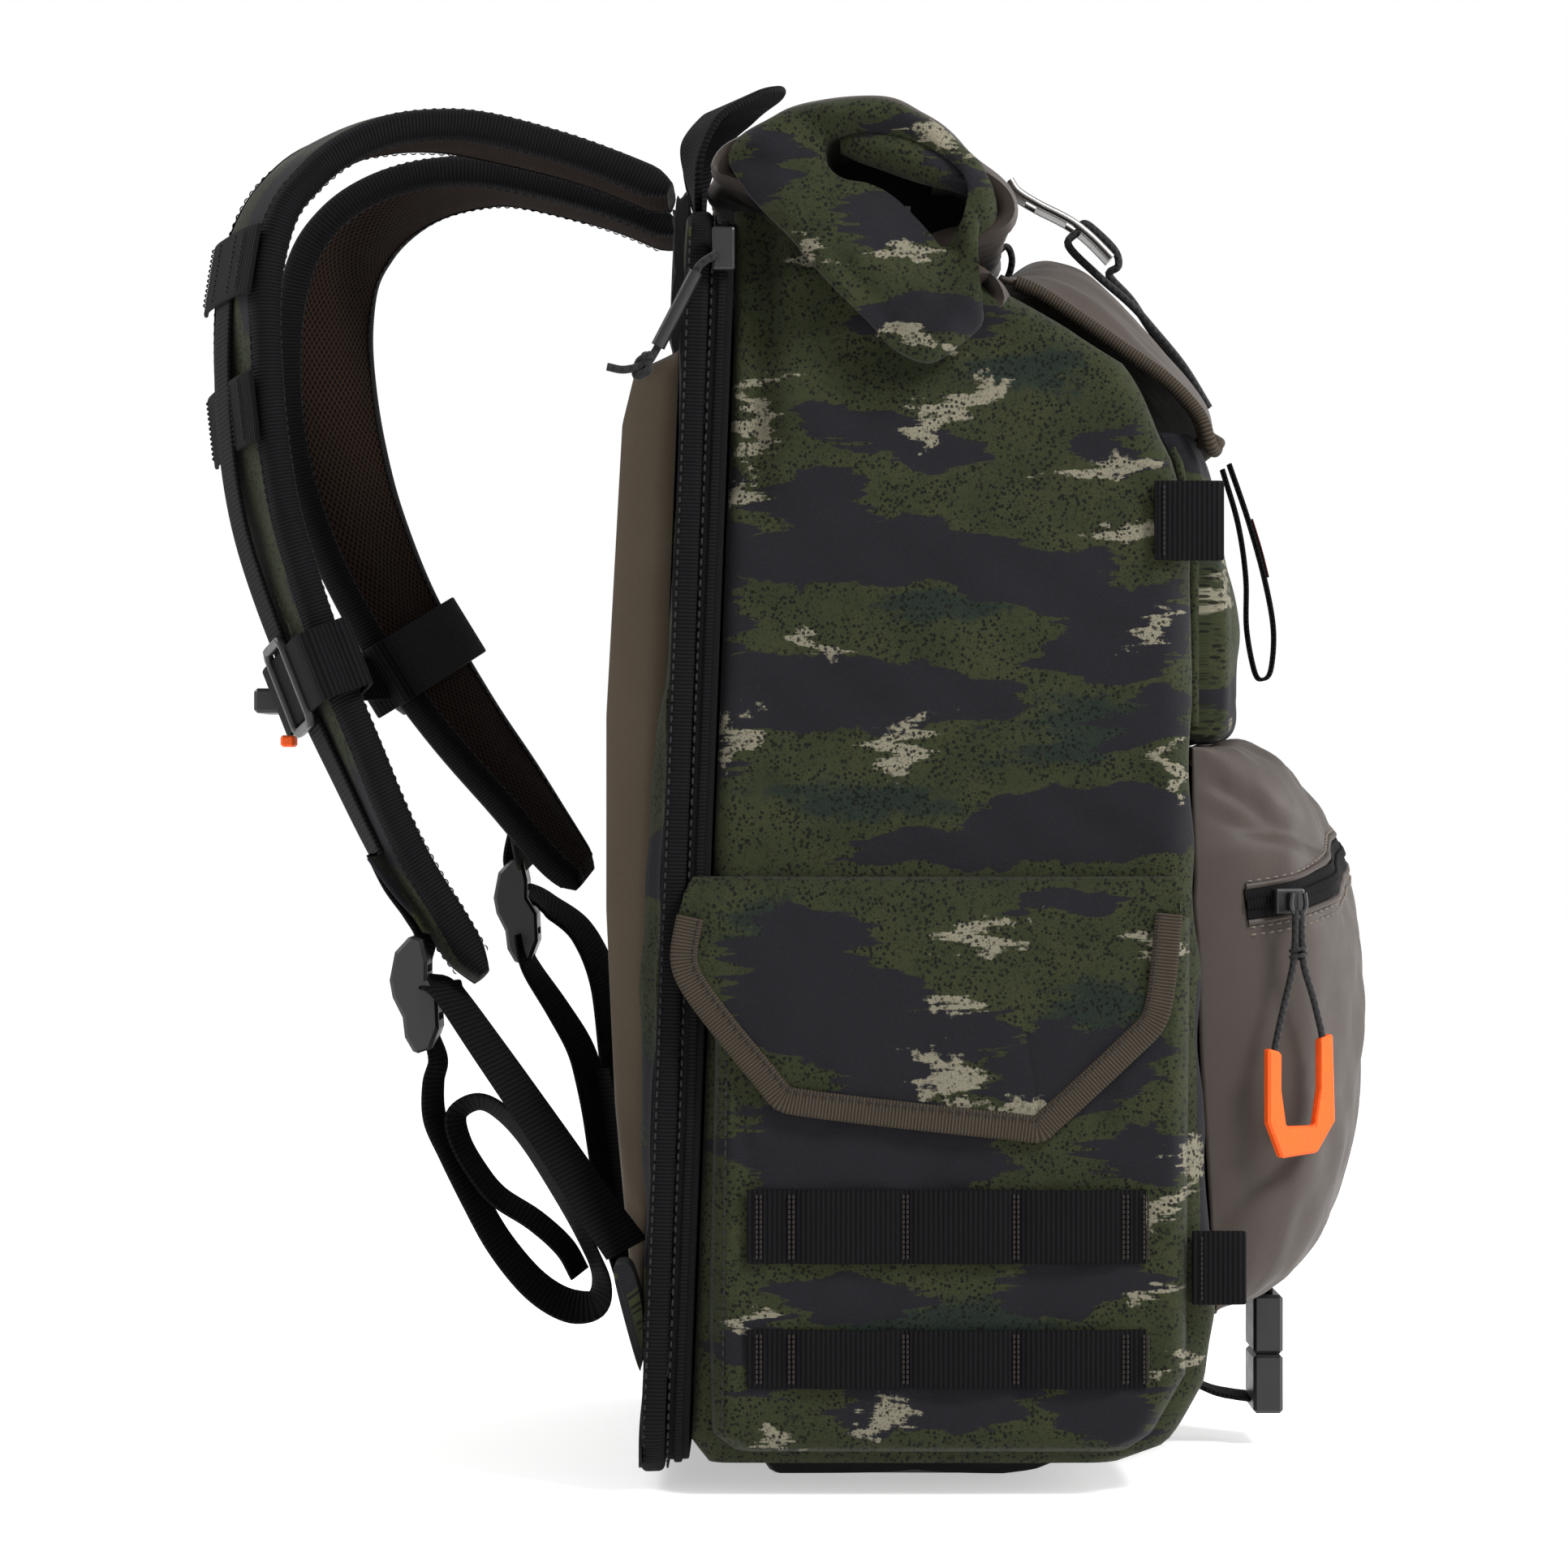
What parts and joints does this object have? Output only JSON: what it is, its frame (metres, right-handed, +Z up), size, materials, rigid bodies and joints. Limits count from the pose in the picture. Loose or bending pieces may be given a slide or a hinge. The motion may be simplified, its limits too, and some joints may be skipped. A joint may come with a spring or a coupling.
{
  "type": "backpack",
  "caption": "Roll-top hunting backpack in camouflage fabric with a foam back panel, curved shoulder straps, flapped side pockets and a zipped front pocket.",
  "frame": {"origin": "on the surface that the pack stands on, below the middle of the whole model", "axes": "+Z up, +X from the wearer's back to the front of the pack, -Y on the wearer's left"},
  "size_m": [0.4205, 0.3028, 0.5038],
  "materials": {
    "camo_fabric": "woven camouflage print",
    "coated_fabric": "smooth coated taupe",
    "taupe_binding": "ribbed grosgrain",
    "moulded_foam": "moulded foam with brushed cloth face",
    "strap_foam": "camouflage face, brown spacer mesh inside",
    "black_webbing": "ribbed webbing",
    "black_cord": "braided cord",
    "black_plastic": "satin moulded",
    "orange_rubber": "moulded, finely dotted",
    "hook_metal": "brushed",
    "stiff_plastic": "plain sheet"
  },
  "bodies": {
    "root": {"anchor_tab_left": "camo_fabric", "anchor_tab_right": "camo_fabric", "back_gusset": "camo_fabric", "back_panel_foam": "moulded_foam", "back_zip_tape": "black_webbing", "bottom_buckle_socket": "black_plastic", "bottom_pad": "black_webbing", "bottom_strap_upper": "black_webbing", "edge_binding": "black_webbing", "frame_sheet": "stiff_plastic", "front_zip_tape": "black_webbing", "lower_front_pocket": "coated_fabric", "lower_webbing_left": "black_webbing", "lower_webbing_right": "black_webbing", "main_bag": "camo_fabric", "molle_lower_left": "black_webbing", "molle_lower_right": "black_webbing", "molle_upper_left": "black_webbing", "molle_upper_right": "black_webbing", "roll_top": "camo_fabric", "roll_top_stiffener": "stiff_plastic", "shoulder_strap_left": "strap_foam", "shoulder_strap_right": "strap_foam", "side_loop_lower_left": "black_webbing", "side_loop_lower_right": "black_webbing", "side_loop_upper_left": "black_webbing", "side_loop_upper_right": "black_webbing", "side_pocket_left": "camo_fabric", "side_pocket_right": "camo_fabric", "strap_webbing_left": "black_webbing", "strap_webbing_right": "black_webbing", "strap_yoke": "black_webbing", "tail_webbing_left": "black_webbing", "tail_webbing_right": "black_webbing", "upper_front_pocket": "camo_fabric"},
    "lid": {"lid_flap": "coated_fabric", "lid_binding": "taupe_binding"},
    "closure": {"closure_hook": "hook_metal", "closure_cord": "black_cord"},
    "haul_handle": {"haul_handle": "black_webbing"},
    "flap_left": {"side_flap_left": "camo_fabric", "flap_binding_left": "taupe_binding"},
    "flap_right": {"side_flap_right": "camo_fabric", "flap_binding_right": "taupe_binding"},
    "front_slider": {"front_zip_slider": "black_plastic"},
    "front_pull": {"front_pull_cord": "black_cord", "front_pull_grip": "orange_rubber"},
    "back_slider": {"back_zip_slider": "black_plastic"},
    "back_pull": {"back_zip_pull": "black_cord"},
    "pocket_pull": {"pocket_pull_loop": "black_webbing"},
    "lock_left": {"ladder_lock_left": "black_plastic"},
    "lock_right": {"ladder_lock_right": "black_plastic"},
    "sternum": {"sternum_keeper_left": "black_webbing", "sternum_keeper_right": "black_webbing", "sternum_webbing": "black_webbing", "sternum_buckle_socket": "black_plastic", "sternum_buckle_plug": "black_plastic", "sternum_whistle": "orange_rubber"},
    "bottom_plug": {"bottom_buckle_plug": "black_plastic", "bottom_strap_lower": "black_webbing"}
  },
  "joints": [
    {"name": "lid_hinge", "type": "hinge", "parent": "root", "child": "lid", "pos_m": [0.076, 0, 0.424], "axis": [0, -1, 0], "range_deg": [0, 55]},
    {"name": "closure_swing", "type": "hinge", "parent": "lid", "child": "closure", "pos_m": [0.158, 0, 0.382], "axis": [0, 1, 0], "range_deg": [0, 150]},
    {"name": "haul_handle_swing", "type": "hinge", "parent": "root", "child": "haul_handle", "pos_m": [-0.0305, 0, 0.449], "axis": [0, -1, 0], "range_deg": [-20, 5]},
    {"name": "side_flap_left_hinge", "type": "hinge", "parent": "root", "child": "flap_left", "pos_m": [0, -0.1388, 0.213], "axis": [-1, 0, 0], "range_deg": [0, 100]},
    {"name": "side_flap_right_hinge", "type": "hinge", "parent": "root", "child": "flap_right", "pos_m": [0, 0.1388, 0.213], "axis": [1, 0, 0], "range_deg": [0, 100]},
    {"name": "front_zip_slide", "type": "slide", "parent": "root", "child": "front_slider", "axis": [0.8858, 0.464, 0], "range_m": [-0.004, 0.008]},
    {"name": "front_pull_swing", "type": "hinge", "parent": "front_slider", "child": "front_pull", "pos_m": [0.18027, -0.11765, 0.2035], "axis": [-0.8858, -0.464, 0], "range_deg": [0, 80]},
    {"name": "back_zip_slide", "type": "slide", "parent": "root", "child": "back_slider", "axis": [-0.0383, 0, -0.9993], "range_m": [0, 0.16]},
    {"name": "back_pull_swing", "type": "hinge", "parent": "back_slider", "child": "back_pull", "pos_m": [-0.02153, -0.1474, 0.428], "axis": [0, 1, 0], "range_deg": [-44, 90]},
    {"name": "pocket_pull_swing", "type": "hinge", "parent": "root", "child": "pocket_pull", "pos_m": [0.162, -0.02, 0.3635], "axis": [0, -1, 0], "range_deg": [0, 90]},
    {"name": "ladder_lock_left_tilt", "type": "hinge", "parent": "root", "child": "lock_left", "pos_m": [-0.129, -0.096, 0.1715], "axis": [0, 1, 0], "range_deg": [-25, 0]},
    {"name": "ladder_lock_right_tilt", "type": "hinge", "parent": "root", "child": "lock_right", "pos_m": [-0.104, 0.096, 0.196], "axis": [0, 1, 0], "range_deg": [-25, 0]},
    {"name": "sternum_slide", "type": "slide", "parent": "root", "child": "sternum", "axis": [-0.484, 0, 0.8751], "range_m": [-0.008, 0.003]},
    {"name": "bottom_buckle_release", "type": "slide", "parent": "root", "child": "bottom_plug", "axis": [0, 0, -1], "range_m": [0, 0.0115]}
  ],
  "couplings": [
    {"joint": "closure_swing", "follows": "lid_hinge", "ratio": 2.7}
  ]
}
